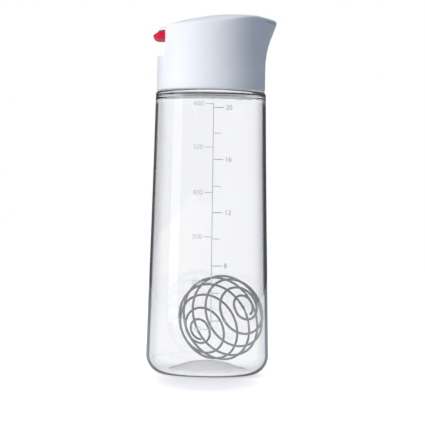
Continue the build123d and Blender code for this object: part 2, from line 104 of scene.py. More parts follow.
def newGroup(name, kind, inputs, outputs):
    tree = bpy.data.node_groups.new(name, kind)
    for label, (socketType, value) in inputs.items():
        socket = tree.interface.new_socket(label, in_out="INPUT", socket_type=socketType)
        if value is not None:
            socket.default_value = value
    for label, socketType in outputs.items():
        tree.interface.new_socket(label, in_out="OUTPUT", socket_type=socketType)
    given = tree.nodes.new("NodeGroupInput").outputs
    result = tree.nodes.new("NodeGroupOutput").inputs
    return tree, given, result


# Shader groups, each used by several materials
finishOutputs = {"Colour": "NodeSocketColor", "Roughness": "NodeSocketFloat", "Height": "NodeSocketFloat"}


def buildMouldGrain():
    inputs = {
        "Place": ("NodeSocketVector", None),
        "Tone": ("NodeSocketColor", (0.8, 0.8, 0.8, 1)),
        "Drift Tone": ("NodeSocketColor", (0.7, 0.7, 0.7, 1)),
        "Grain Scale": ("NodeSocketFloat", 4000.0),
        "Drift Scale": ("NodeSocketFloat", 40.0),
        "Roughness": ("NodeSocketFloat", 0.4),
        "Roughness Spread": ("NodeSocketFloat", 0.1),
    }
    tree, given, result = newGroup("mouldGrain", "ShaderNodeTree", inputs, finishOutputs)
    grain = noise(tree, given["Place"], given["Grain Scale"], detail=3.0)
    drift = noise(tree, given["Place"], given["Drift Scale"], detail=2.0)
    wander = maths(tree, "SUBTRACT", maths(tree, "ADD", grain, drift), 1.0)
    wander = maths(tree, "MULTIPLY", wander, given["Roughness Spread"])
    feed(tree, result["Colour"], mixTones(tree, drift, given["Tone"], given["Drift Tone"]))
    feed(tree, result["Roughness"], maths(tree, "ADD", given["Roughness"], wander))
    feed(tree, result["Height"], grain)
    return tree


# Fine scratches, most of them along the height
scuffForm = {
    "tilt": (0.3, 0.2, 0.5),
    "stretch": (1.0, 1.0, 0.12),
    "fineness": 0.7,
    "start": 0.62,
    "full": 0.74,
}


def buildHandlingScuffs(form):
    inputs = {
        "Place": ("NodeSocketVector", None),
        "Scale": ("NodeSocketFloat", 60.0),
        "Amount": ("NodeSocketFloat", 0.1),
    }
    tree, given, result = newGroup("handlingScuffs", "ShaderNodeTree", inputs, {"Mask": "NodeSocketFloat"})
    turn = {"Vector": given["Place"], "Rotation": form["tilt"], "Scale": form["stretch"]}
    tilted = addNode(tree, "ShaderNodeMapping", turn).outputs["Vector"]
    scratch = noise(tree, tilted, given["Scale"], detail=6.0, roughness=form["fineness"])
    mask = softStep(tree, scratch, form["start"], form["full"])
    feed(tree, result["Mask"], maths(tree, "MULTIPLY", mask, given["Amount"]))
    return tree


def buildDrawnLines():
    inputs = {
        "Place": ("NodeSocketVector", None),
        "Stretch": ("NodeSocketVector", (1.0, 1.0, 0.02)),
        "Scale": ("NodeSocketFloat", 3000.0),
        "Tone": ("NodeSocketColor", (0.5, 0.5, 0.5, 1)),
        "Line Tone": ("NodeSocketColor", (0.4, 0.4, 0.4, 1)),
        "Roughness": ("NodeSocketFloat", 0.2),
        "Roughness Spread": ("NodeSocketFloat", 0.1),
    }
    tree, given, result = newGroup("drawnLines", "ShaderNodeTree", inputs, finishOutputs)
    stretched = vectorMaths(tree, "MULTIPLY", given["Place"], given["Stretch"])["Vector"]
    lines = noise(tree, stretched, given["Scale"], detail=4.0)
    wander = maths(tree, "MULTIPLY", maths(tree, "SUBTRACT", lines, 0.5), given["Roughness Spread"])
    feed(tree, result["Colour"], mixTones(tree, lines, given["Tone"], given["Line Tone"]))
    feed(tree, result["Roughness"], maths(tree, "ADD", given["Roughness"], wander))
    feed(tree, result["Height"], lines)
    return tree


mouldGrain = buildMouldGrain()
handlingScuffs = buildHandlingScuffs(scuffForm)
drawnLines = buildDrawnLines()
print("shader groups built")


# Materials
def startMaterial(name):
    material = bpy.data.materials.new(name)
    material.use_nodes = True
    tree = material.node_tree
    tree.nodes.clear()
    surface = tree.nodes.new("ShaderNodeBsdfPrincipled")
    output = tree.nodes.new("ShaderNodeOutputMaterial")
    tree.links.new(surface.outputs["BSDF"], output.inputs["Surface"])
    return material, tree, surface


def useGroup(tree, group, inputs):
    return addNode(tree, "ShaderNodeGroup", inputs, node_tree=group).outputs


def objectPlace(tree):
    return tree.nodes.new("ShaderNodeTexCoord").outputs["Object"]


def bump(tree, height, depth):
    inputs = {"Height": height, "Distance": depth, "Strength": 1.0}
    return addNode(tree, "ShaderNodeBump", inputs).outputs["Normal"]


# Tone, roughness and relief of a moulded piece
def mouldedFinish(tree, place, look):
    grain = useGroup(
        tree,
        mouldGrain,
        {
            "Place": place,
            "Tone": (*look["tone"], 1),
            "Drift Tone": (*look["driftTone"], 1),
            "Grain Scale": look["grainScale"],
            "Drift Scale": look["driftScale"],
            "Roughness": look["roughness"],
            "Roughness Spread": look["roughnessSpread"],
        },
    )
    scuffs = {"Place": place, "Scale": look["scuffScale"], "Amount": look["scuffs"]}
    scuffed = useGroup(tree, handlingScuffs, scuffs)["Mask"]
    roughness = maths(tree, "ADD", grain["Roughness"], scuffed)
    return grain["Colour"], roughness, bump(tree, grain["Height"], look["grainDepth"])


def plasticMaterial(name, look):
    material, tree, surface = startMaterial(name)
    tone, roughness, relief = mouldedFinish(tree, objectPlace(tree), look)
    feedAll(
        tree,
        surface.inputs,
        {
            "Base Color": tone,
            "Roughness": roughness,
            "Normal": relief,
            "IOR": look["ior"],
            "Subsurface Weight": look["glow"],
            "Subsurface Radius": look["glowReach"],
            "Subsurface Scale": look["glowScale"],
        },
    )
    return material


whiteLook = {
    "tone": (0.86, 0.865, 0.885),
    "driftTone": (0.84, 0.845, 0.87),
    "grainScale": 2600.0,
    "driftScale": 45.0,
    "roughness": 0.34,
    "roughnessSpread": 0.06,
    "scuffScale": 55.0,
    "scuffs": 0.05,
    "grainDepth": 0.006 * mm,
    "ior": 1.49,
    "glow": 0.3,
    "glowReach": (1.0, 0.9, 0.8),
    "glowScale": 3.0 * mm,
}
redLook = {
    **whiteLook,
    "tone": (0.72, 0.012, 0.05),
    "driftTone": (0.64, 0.008, 0.04),
    "roughness": 0.5,
    "ior": 1.36,
    "glowReach": (1.0, 0.1, 0.1),
}
insertLook = {
    **whiteLook,
    "tone": (0.80, 0.81, 0.82),
    "driftTone": (0.76, 0.77, 0.79),
    "roughness": 0.42,
}
siliconeLook = {
    **whiteLook,
    "tone": (0.42, 0.44, 0.47),
    "driftTone": (0.38, 0.40, 0.43),
    "grainScale": 1800.0,
    "roughness": 0.58,
    "roughnessSpread": 0.12,
    "scuffs": 0.0,
    "grainDepth": 0.012 * mm,
    "ior": 1.41,
    "glow": 0.2,
}
printLook = {
    **whiteLook,
    "tone": (0.50, 0.51, 0.54),
    "driftTone": (0.60, 0.61, 0.64),
    "driftScale": 300.0,
    "roughness": 0.5,
    "glow": 0.0,
}

# Outer form of the bottle
bottleWall = {
    "baseRadius": 39.0 * mm,
    "baseHeight": 12.5 * mm,
    "topRadius": 35.05 * mm,
    "topHeight": 178.0 * mm,
    "waist": 0.26 * mm,
    "cornerRadius": 12.5 * mm,
}

# Painted shade on the clear wall: its colour turns grey where it turns away from the eye, and nearly black at
# its outline as a painted dark rim
clearLook = {
    "tone": (0.985, 0.987, 0.995),
    "driftTone": (0.97515, 0.97713, 0.98505),
    "grainScale": 28.0,  # slow waves in the wall
    "grainDepth": 0.03 * mm,
    "driftScale": 14.0,
    "roughness": 0.015,
    "roughnessSpread": 0.015,
    "scuffScale": 40.0,
    "scuffs": 0.04,
    "ior": 1.49,
    "paintedGrazingShadeTone": (0.74, 0.76, 0.80),
    "paintedGrazingShade": (0.40, 0.68),  # where the painted grey starts and is full, from 0 facing the eye to 1 edge on
    "edgeTone": (0.004, 0.005, 0.008),
    "edge": (0.62, 0.72),
    "edgeDepth": (0.7 * mm, 1.5 * mm),  # the inside of the wall has no painted dark rim
    "wallReach": (22.0 * mm, 26.0 * mm),  # no painted shade nearer to the axis, on the base
    "shoulder": (171.0 * mm, 176.0 * mm),  # nor above this height
    "baseTop": 12.0 * mm,  # the base lies below this height
    "baseTone": (1.0, 1.0, 1.0),
    "baseRoughness": 0.9,  # added on the base
}


def reachAndHeight(tree, place):
    flat = vectorMaths(tree, "MULTIPLY", place, (1.0, 1.0, 0.0))["Vector"]
    reach = vectorMaths(tree, "LENGTH", flat)["Value"]
    return reach, addNode(tree, "ShaderNodeSeparateXYZ", {0: place}).outputs["Z"]


# 1 on the outside of the bottle's wall and rounded bottom edge, 0 on their inside
def outerSkin(tree, reach, height, depth):
    corner = bottleWall["cornerRadius"]
    across = maths(tree, "SUBTRACT", reach, bottleWall["baseRadius"] - corner)
    across = maths(tree, "MAXIMUM", across, 0.0)
    under = maths(tree, "MINIMUM", maths(tree, "SUBTRACT", height, corner), 0.0)
    acrossSquare = maths(tree, "MULTIPLY", across, across)
    underSquare = maths(tree, "MULTIPLY", under, under)
    away = maths(tree, "SQRT", maths(tree, "ADD", acrossSquare, underSquare))
    taper = addNode(
        tree,
        "ShaderNodeMapRange",
        {
            "Value": height,
            "From Min": bottleWall["baseHeight"],
            "From Max": bottleWall["topHeight"],
            "To Min": corner,
            "To Max": corner + bottleWall["topRadius"] - bottleWall["baseRadius"],
        },
    )
    inwards = maths(tree, "SUBTRACT", taper.outputs["Result"], away)
    return inverse(tree, softStep(tree, inwards, *depth))


def clearMaterial(name, look):
    material, tree, surface = startMaterial(name)
    place = objectPlace(tree)
    tone, roughness, relief = mouldedFinish(tree, place, look)
    facing = tree.nodes.new("ShaderNodeLayerWeight").outputs["Facing"]
    reach, height = reachAndHeight(tree, place)
    wall = softStep(tree, reach, *look["wallReach"])
    low = maths(tree, "LESS_THAN", height, look["baseTop"])
    base = maths(tree, "MULTIPLY", low, inverse(tree, wall))
    shoulder = softStep(tree, height, *look["shoulder"])
    wall = maths(tree, "MULTIPLY", wall, inverse(tree, shoulder))
    # Painted shade: grey towards grazing angles, and a painted near-black rim at the outline
    paintedGrazingShade = maths(tree, "MULTIPLY", softStep(tree, facing, *look["paintedGrazingShade"]), wall)
    edge = maths(tree, "MULTIPLY", softStep(tree, facing, *look["edge"]), wall)
    edge = maths(tree, "MULTIPLY", edge, outerSkin(tree, reach, height, look["edgeDepth"]))
    tone = mixTones(tree, base, tone, (*look["baseTone"], 1))
    tone = mixTones(tree, paintedGrazingShade, tone, (*look["paintedGrazingShadeTone"], 1))
    tone = mixTones(tree, edge, tone, (*look["edgeTone"], 1))
    frosted = maths(tree, "MULTIPLY", base, look["baseRoughness"])
    feedAll(
        tree,
        surface.inputs,
        {
            "Base Color": tone,
            "Roughness": maths(tree, "ADD", roughness, frosted),
            "Normal": relief,
            "IOR": look["ior"],
            "Transmission Weight": 1.0,
        },
    )
    return material


whiskSteelLook = {
    "tone": (0.35, 0.355, 0.37),
    "lineTone": (0.22, 0.225, 0.235),
    "roughness": 0.1,
    "roughnessSpread": 0.12,
    "stretch": (1.0, 1.0, 0.03),
    "lineScale": 3000.0,
    "lineDepth": 0.004 * mm,
    "coordinates": "wirePlace",  # the wire's own, stored by its sweep
}
springSteelLook = {**whiskSteelLook, "tone": (0.58, 0.58, 0.59), "lineTone": (0.45, 0.45, 0.46)}
pinSteelLook = {
    **springSteelLook,
    "roughness": 0.28,
    "stretch": (1.0, 0.03, 1.0),
    "coordinates": None,
}


def steelMaterial(name, look):
    material, tree, surface = startMaterial(name)
    if look["coordinates"]:
        place = addNode(tree, "ShaderNodeAttribute", attribute_name=look["coordinates"]).outputs["Vector"]
    else:
        place = objectPlace(tree)
    lines = useGroup(
        tree,
        drawnLines,
        {
            "Place": place,
            "Stretch": look["stretch"],
            "Scale": look["lineScale"],
            "Tone": (*look["tone"], 1),
            "Line Tone": (*look["lineTone"], 1),
            "Roughness": look["roughness"],
            "Roughness Spread": look["roughnessSpread"],
        },
    )
    feedAll(
        tree,
        surface.inputs,
        {
            "Base Color": lines["Colour"],
            "Roughness": lines["Roughness"],
            "Normal": bump(tree, lines["Height"], look["lineDepth"]),
            "Metallic": 1.0,
        },
    )
    return material


# Painted glow in the lid's bore, an emission that stands in for light that the thin wall lets through
paintedBoreGlow = {
    "tone": (0.86, 0.89, 0.96),
    "level": 0.37,
    "reach": (32.7 * mm, 33.7 * mm),  # from the axis: full to the first, none past the second
    "top": 200.0 * mm,
}


def lightBore(material, look):
    tree = material.node_tree
    reach, height = reachAndHeight(tree, objectPlace(tree))
    inside = inverse(tree, softStep(tree, reach, *look["reach"]))
    bore = maths(tree, "MULTIPLY", inside, maths(tree, "LESS_THAN", height, look["top"]))
    # Painted light: the bore's inner faces glow
    paintedGlow = mixTones(tree, bore, (0.0, 0.0, 0.0, 1.0), (*look["tone"], 1))
    surface = tree.nodes["Principled BSDF"]
    feedAll(tree, surface.inputs, {"Emission Color": paintedGlow, "Emission Strength": look["level"]})


whitePlastic = plasticMaterial("whitePlastic", whiteLook)
lightBore(whitePlastic, paintedBoreGlow)
redPlastic = plasticMaterial("redPlastic", redLook)
insertPlastic = plasticMaterial("insertPlastic", insertLook)
greySilicone = plasticMaterial("greySilicone", siliconeLook)
greyPrint = plasticMaterial("greyPrint", printLook)
clearPlastic = clearMaterial("clearPlastic", clearLook)
whiskSteel = steelMaterial("whiskSteel", whiskSteelLook)
springSteel = steelMaterial("springSteel", springSteelLook)
pinSteel = steelMaterial("pinSteel", pinSteelLook)
print("materials built")


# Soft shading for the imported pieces: corners sharper than the limit stay crisp
def buildSoftShading():
    tree, given, result = newGroup(
        "softShading",
        "GeometryNodeTree",
        {
            "Geometry": ("NodeSocketGeometry", None),
            "Weld Distance": ("NodeSocketFloat", 0.002 * mm),
            "Sharp Angle": ("NodeSocketFloat", math.radians(28)),
        },
        {"Geometry": "NodeSocketGeometry"},
    )
    weld = {"Geometry": given["Geometry"], "Distance": given["Weld Distance"]}
    welded = addNode(tree, "GeometryNodeMergeByDistance", weld).outputs[0]
    smooth = {"Geometry": welded, "Shade Smooth": True}
    smoothed = addNode(tree, "GeometryNodeSetShadeSmooth", smooth, domain="FACE").outputs[0]
    angle = tree.nodes.new("GeometryNodeInputMeshEdgeAngle").outputs["Unsigned Angle"]
    limit = {0: angle, 1: given["Sharp Angle"]}
    sharp = addNode(tree, "FunctionNodeCompare", limit, operation="GREATER_THAN").outputs[0]
    crisp = {"Geometry": smoothed, "Selection": sharp, "Shade Smooth": False}
    shaded = addNode(tree, "GeometryNodeSetShadeSmooth", crisp, domain="EDGE").outputs[0]
    feed(tree, result["Geometry"], shaded)
    return tree


softShading = buildSoftShading()

packedPieces = {
    "bottle": clearPlastic,
    "lid_shell": whitePlastic,
    "pour_lever": whitePlastic,
    "spout_insert": insertPlastic,
    "thumb_tab": redPlastic,
    "lid_gasket": greySilicone,
    "spout_seal": greySilicone,
    "hinge_pin": pinSteel,
}
for nodeName, material in packedPieces.items():
    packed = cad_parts[nodeName]
    packed.data.materials.clear()
    packed.data.materials.append(material)
    packed.modifiers.new("softShading", "NODES").node_group = softShading
print("packed pieces dressed")


fullTurn = 2 * math.pi


# A point at an angle and a reach from the Z axis, and at a height
def roundPlace(tree, angle, reach, height):
    inputs = {
        "X": maths(tree, "MULTIPLY", maths(tree, "COSINE", angle), reach),
        "Y": maths(tree, "MULTIPLY", maths(tree, "SINE", angle), reach),
        "Z": height,
    }
    return addNode(tree, "ShaderNodeCombineXYZ", inputs).outputs[0]


def moveTo(tree, geometry, place):
    inputs = {"Geometry": geometry, "Position": place}
    return addNode(tree, "GeometryNodeSetPosition", inputs).outputs[0]


def store(tree, geometry, name, value, kind="FLOAT"):
    inputs = {"Geometry": geometry, "Name": name, "Value": value}
    return addNode(tree, "GeometryNodeStoreNamedAttribute", inputs, data_type=kind).outputs[0]


def stored(tree, name):
    return addNode(tree, "GeometryNodeInputNamedAttribute", {"Name": name}, data_type="FLOAT").outputs[0]


def alongSpline(tree, measure):
    return tree.nodes.new("GeometryNodeSplineParameter").outputs[measure]


def endTree(tree, result, geometry, material):
    real = addNode(tree, "GeometryNodeRealizeInstances", {"Geometry": geometry}).outputs[0]
    painted = addNode(tree, "GeometryNodeSetMaterial", {"Geometry": real, "Material": material})
    feed(tree, result["Geometry"], painted.outputs[0])
    return tree


# Round wire swept along a path, with its own coordinates for the drawn lines
def buildWireSweep():
    tree, given, result = newGroup(
        "wireSweep",
        "GeometryNodeTree",
        {
            "Path": ("NodeSocketGeometry", None),
            "Wire Radius": ("NodeSocketFloat", 0.75 * mm),
            "Sides": ("NodeSocketInt", 14),
            "Material": ("NodeSocketMaterial", None),
        },
        {"Geometry": "NodeSocketGeometry"},
    )
    path = store(tree, given["Path"], "alongWire", alongSpline(tree, "Length"))
    circle = {"Resolution": given["Sides"], "Radius": given["Wire Radius"]}
    profile = addNode(tree, "GeometryNodeCurvePrimitiveCircle", circle).outputs["Curve"]
    profile = store(tree, profile, "roundWire", alongSpline(tree, "Factor"))
    sweep = {"Curve": path, "Profile Curve": profile, "Fill Caps": True}
    wire = addNode(tree, "GeometryNodeCurveToMesh", sweep).outputs[0]
    angle = maths(tree, "MULTIPLY", stored(tree, "roundWire"), fullTurn)
    place = roundPlace(tree, angle, given["Wire Radius"], stored(tree, "alongWire"))
    placed = store(tree, wire, "wirePlace", place, "FLOAT_VECTOR")
    smooth = addNode(tree, "GeometryNodeSetShadeSmooth", {"Geometry": placed, "Shade Smooth": True})
    return endTree(tree, result, smooth.outputs[0], given["Material"])


wireSweep = buildWireSweep()


def evenLine(tree, steps):
    line = tree.nodes.new("GeometryNodeCurvePrimitiveLine")
    points = addNode(tree, "GeometryNodeResampleCurve", {"Curve": line.outputs["Curve"], "Count": steps})
    return points.outputs["Curve"]


def sweepWire(tree, path, given, result):
    inputs = {"Path": path, **{name: given[name] for name in ("Wire Radius", "Sides", "Material")}}
    sweep = addNode(tree, "GeometryNodeGroup", inputs, node_tree=wireSweep)
    feed(tree, result["Geometry"], sweep.outputs["Geometry"])
    return tree


wireInputs = {
    "Wire Radius": ("NodeSocketFloat", 0.75 * mm),
    "Sides": ("NodeSocketInt", 14),
    "Steps": ("NodeSocketInt", 600),
    "Material": ("NodeSocketMaterial", None),
}


# Spiral on a sphere round the Z axis, with a loop of constant size at each end
def buildSphereSpiral():
    tree, given, result = newGroup(
        "sphereSpiral",
        "GeometryNodeTree",
        {
            **wireInputs,
            "Path Radius": ("NodeSocketFloat", 26.65 * mm),
            "Loop Angle": ("NodeSocketFloat", 0.26),
            "Turn Pitch": ("NodeSocketFloat", 0.35),
            "First Turn": ("NodeSocketFloat", -0.73),
            "Loop End": ("NodeSocketFloat", 3.66),
        },
        {"Geometry": "NodeSocketGeometry"},
    )
    spiralWay = maths(tree, "SUBTRACT", math.pi, maths(tree, "MULTIPLY", given["Loop Angle"], 2.0))
    spiralTurn = maths(tree, "DIVIDE", maths(tree, "MULTIPLY", spiralWay, fullTurn), given["Turn Pitch"])
    lastTurn = maths(tree, "MULTIPLY", given["Loop End"], 2.0)
    lastTurn = maths(tree, "SUBTRACT", maths(tree, "ADD", lastTurn, spiralTurn), given["First Turn"])
    share = alongSpline(tree, "Factor")
    allTurns = maths(tree, "SUBTRACT", lastTurn, given["First Turn"])
    turn = maths(tree, "ADD", given["First Turn"], maths(tree, "MULTIPLY", share, allTurns))
    wound = maths(tree, "MAXIMUM", maths(tree, "SUBTRACT", turn, given["Loop End"]), 0.0)
    wound = maths(tree, "MINIMUM", wound, spiralTurn)
    spread = maths(tree, "MULTIPLY", given["Turn Pitch"], maths(tree, "DIVIDE", wound, fullTurn))
    spread = maths(tree, "ADD", given["Loop Angle"], spread)
    across = maths(tree, "MULTIPLY", maths(tree, "SINE", spread), given["Path Radius"])
    height = maths(tree, "MULTIPLY", maths(tree, "COSINE", spread), given["Path Radius"])
    place = roundPlace(tree, turn, across, height)
    return sweepWire(tree, moveTo(tree, evenLine(tree, given["Steps"]), place), given, result)


# Helix round the Z axis, with closer turns at both ends, once for each start
def buildHelix():
    tree, given, result = newGroup(
        "helix",
        "GeometryNodeTree",
        {
            **wireInputs,
            "Path Radius": ("NodeSocketFloat", 2.4 * mm),
            "Bottom": ("NodeSocketFloat", 0.0),
            "Turns": ("NodeSocketFloat", 4.0),
            "End Pitch": ("NodeSocketFloat", 1.0 * mm),
            "Open Pitch": ("NodeSocketFloat", 3.0 * mm),
            "Starts": ("NodeSocketInt", 1),
        },
        {"Geometry": "NodeSocketGeometry"},
    )
    starts = addNode(
        tree,
        "GeometryNodeDuplicateElements",
        {"Geometry": evenLine(tree, given["Steps"]), "Amount": given["Starts"]},
        domain="SPLINE",
    )
    share = alongSpline(tree, "Factor")
    turn = maths(tree, "MULTIPLY", share, given["Turns"])
    between = maths(tree, "SUBTRACT", given["Turns"], 2.0)  # without one close turn at each end
    openTurns = maths(tree, "MINIMUM", maths(tree, "SUBTRACT", turn, 1.0), between)
    openTurns = maths(tree, "MAXIMUM", openTurns, 0.0)
    endTurns = maths(tree, "SUBTRACT", turn, openTurns)
    height = maths(tree, "ADD", given["Bottom"], maths(tree, "MULTIPLY", endTurns, given["End Pitch"]))
    height = maths(tree, "ADD", height, maths(tree, "MULTIPLY", openTurns, given["Open Pitch"]))
    startShare = maths(tree, "DIVIDE", starts.outputs["Duplicate Index"], given["Starts"])
    angle = maths(tree, "MULTIPLY", maths(tree, "ADD", turn, startShare), fullTurn)
    place = roundPlace(tree, angle, given["Path Radius"], height)
    return sweepWire(tree, moveTo(tree, starts.outputs["Geometry"], place), given, result)


# Closed ring round the Z axis
def buildRing():
    tree, given, result = newGroup(
        "ring",
        "GeometryNodeTree",
        {
            **wireInputs,
            "Path Radius": ("NodeSocketFloat", 33.0 * mm),
            "Height": ("NodeSocketFloat", 0.0),
        },
        {"Geometry": "NodeSocketGeometry"},
    )
    circle = {"Resolution": given["Steps"], "Radius": given["Path Radius"]}
    curve = addNode(tree, "GeometryNodeCurvePrimitiveCircle", circle).outputs["Curve"]
    rise = addNode(tree, "ShaderNodeCombineXYZ", {"Z": given["Height"]}).outputs[0]
    path = addNode(tree, "GeometryNodeSetPosition", {"Geometry": curve, "Offset": rise}).outputs[0]
    return sweepWire(tree, path, given, result)


sphereSpiral = buildSphereSpiral()
helix = buildHelix()
ring = buildRing()


def addObject(name, data):
    made = bpy.data.objects.new(name, data)
    bpy.context.scene.collection.objects.link(made)
    return made


def plainMesh(shape):
    evaluated = shape.evaluated_get(bpy.context.evaluated_depsgraph_get())
    return bpy.data.meshes.new_from_object(evaluated)


# A piece grown by a tree, as a plain mesh without its modifier
def growPiece(name, tree, inputs, matrix=None, mesh=None):
    start = addObject(name + "Start", mesh or bpy.data.meshes.new(name + "Start"))
    modifier = start.modifiers.new("grow", "NODES")
    modifier.node_group = tree
    for item in tree.interface.items_tree:
        if item.in_out == "INPUT" and item.name in inputs:
            modifier[item.identifier] = inputs[item.name]
    start.update_tag()
    grown = plainMesh(start)
    grown.name = name
    bpy.data.objects.remove(start)
    if matrix is not None:
        grown.transform(matrix)
    return addObject(name, grown)


def wireSettings(sizes, wireRadius, material):
    return {
        "Wire Radius": wireRadius,
        "Sides": sizes["sides"],
        "Steps": sizes["steps"],
        "Material": material,
    }


def basisMatrix(xAxis, yAxis, zAxis, origin):
    turned = Matrix((xAxis, yAxis, zAxis)).transposed().to_4x4()
    turned.translation = origin
    return turned


# Whisk ball
whiskBall = {
    "centre": Vector((8.4068, 0, 36.1987)) * mm,
    "axis": Vector((0.525, -0.784, 0.331)).normalized(),  # towards the loop that faces the front
    "outerRadius": 27.4 * mm,
    "wireRadius": 0.75 * mm,
    "turnPitch": math.radians(20.06),
    "loopAngle": math.radians(14.83),
    "firstTurn": math.radians(-42),
    "loopEnd": math.radians(209.5),
    "steps": 900,
    "sides": 16,
}


def makeWhiskBall(sizes):
    axis = sizes["axis"]
    side = (Vector((1, 0, 0)) - axis * axis.x).normalized()
    inputs = {
        **wireSettings(sizes, sizes["wireRadius"], whiskSteel),
        "Path Radius": sizes["outerRadius"] - sizes["wireRadius"],
        "Loop Angle": sizes["loopAngle"],
        "Turn Pitch": sizes["turnPitch"],
        "First Turn": sizes["firstTurn"],
        "Loop End": sizes["loopEnd"],
    }
    place = basisMatrix(side, axis.cross(side), axis, sizes["centre"])
    piece = growPiece("whiskBall", sphereSpiral, inputs, place)
    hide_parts("wire_whisk_ball")
    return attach(piece, "whisk_ball")


makeWhiskBall(whiskBall)
print("whisk ball wound")

# Lever spring
leverSpring = {
    "reach": 17.0 * mm,  # behind the axis
    "coilRadius": 2.4 * mm,
    "wireRadius": 0.4 * mm,
    "turns": 4.0,
    "endPitch": 1.3 * mm,
    "steps": 240,
    "sides": 12,
}


def makeLeverSpring(sizes):
    low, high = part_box("lever_spring")
    rise = high.z - low.z - 2 * sizes["wireRadius"]
    inputs = {
        **wireSettings(sizes, sizes["wireRadius"], springSteel),
        "Path Radius": sizes["coilRadius"],
        "Bottom": low.z + sizes["wireRadius"],
        "Turns": sizes["turns"],
        "End Pitch": sizes["endPitch"],
        "Open Pitch": (rise - 2 * sizes["endPitch"]) / (sizes["turns"] - 2),
        "Starts": 1,
    }
    piece = growPiece("leverSpring", helix, inputs, Matrix.Translation((-sizes["reach"], 0, 0)))
    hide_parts("lever_spring")
    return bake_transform(piece)


makeLeverSpring(leverSpring)
print("lever spring wound")

# Two-start threads: ridges on the neck, and the lid's own half way between them
threads = {
    "neckRadius": 30.6 * mm,
    "lidBore": 32.2 * mm,
    "lead": 12.0 * mm,
    "starts": 2,
    "neckBottom": 183.5 * mm,
    "neckTurns": 0.8,
    "lidTurns": 0.5,
    "ridgeRadius": 1.2 * mm,
    "sunk": 0.1 * mm,  # the ridge's middle, behind the wall's face
    "steps": 160,
    "sides": 12,
}


def makeThread(name, sizes, pathRadius, bottom, turns, material):
    inputs = {
        **wireSettings(sizes, sizes["ridgeRadius"], material),
        "Path Radius": pathRadius,
        "Bottom": bottom,
        "Turns": turns,
        "End Pitch": sizes["lead"],
        "Open Pitch": sizes["lead"],
        "Starts": sizes["starts"],
    }
    return growPiece(name, helix, inputs)


def makeThreads(sizes):
    neckPath = sizes["neckRadius"] - sizes["sunk"]
    neckBottom = sizes["neckBottom"]
    ridges = makeThread("neckThread", sizes, neckPath, neckBottom, sizes["neckTurns"], clearPlastic)
    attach(ridges, "bottle")
    lidPath = sizes["lidBore"] + sizes["sunk"]
    lidBottom = neckBottom + sizes["lead"] / (2 * sizes["starts"])
    ridges = makeThread("lidThread", sizes, lidPath, lidBottom, sizes["lidTurns"], whitePlastic)
    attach(ridges, "lid")


makeThreads(threads)
print("threads cut")


# Rounded lip under the lid's lower edge
lidLip = {
    "radius": 33.56 * mm,
    "halfThickness": 0.8 * mm,
    "height": 181.05 * mm,
    "steps": 180,
    "sides": 24,
}


def makeLidLip(sizes):
    inputs = {
        **wireSettings(sizes, sizes["halfThickness"], whitePlastic),
        "Path Radius": sizes["radius"],
        "Height": sizes["height"],
    }
    piece = growPiece("lidLip", ring, inputs)
    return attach(piece, "lid")


makeLidLip(lidLip)
print("lip laid under the lid")

# Graduation printed on the bottle, in millilitres on the left and ounces on the right
graduation = {
    # millimetres of each volume in millilitres; the inside is a little wider at the top mark
    "heights": {600: 170.7, 500: 143.6, 400: 115.3, 300: 87.8, 200: 59.4, 100: 30.4},
    "ounce": 29.57,  # millilitres
    "ounces": range(4, 21, 2),
    "lineHeight": 30.0 * mm,
    "lineWidth": 0.5 * mm,
    "lineParts": 40,  # so that it bends with the wall
    "tickWidth": 0.45 * mm,
    "tick": 4.8 * mm,
    "ounceTick": 6.4 * mm,
    "ounceShortTick": 4.6 * mm,
    "numbered": 4,  # every so many ounces, with the longer tick
    "textHeight": 3.2 * mm,
    "figureShare": 0.72,  # height of a figure for the font's size
    "textSteps": 3,
    "textGap": 1.0 * mm,
    "printDepth": 0.05 * mm,
    "lift": 0.03 * mm,
    "turned": math.radians(3.0),  # of the middle line, from the front
}


def volumeHeight(volume):
    heights = graduation["heights"]
    below = max(mark for mark in heights if mark < volume or mark == min(heights))
    above = min(mark for mark in heights if mark > below)
    share = (volume - below) / (above - below)
    return (heights[below] + (heights[above] - heights[below]) * share) * mm


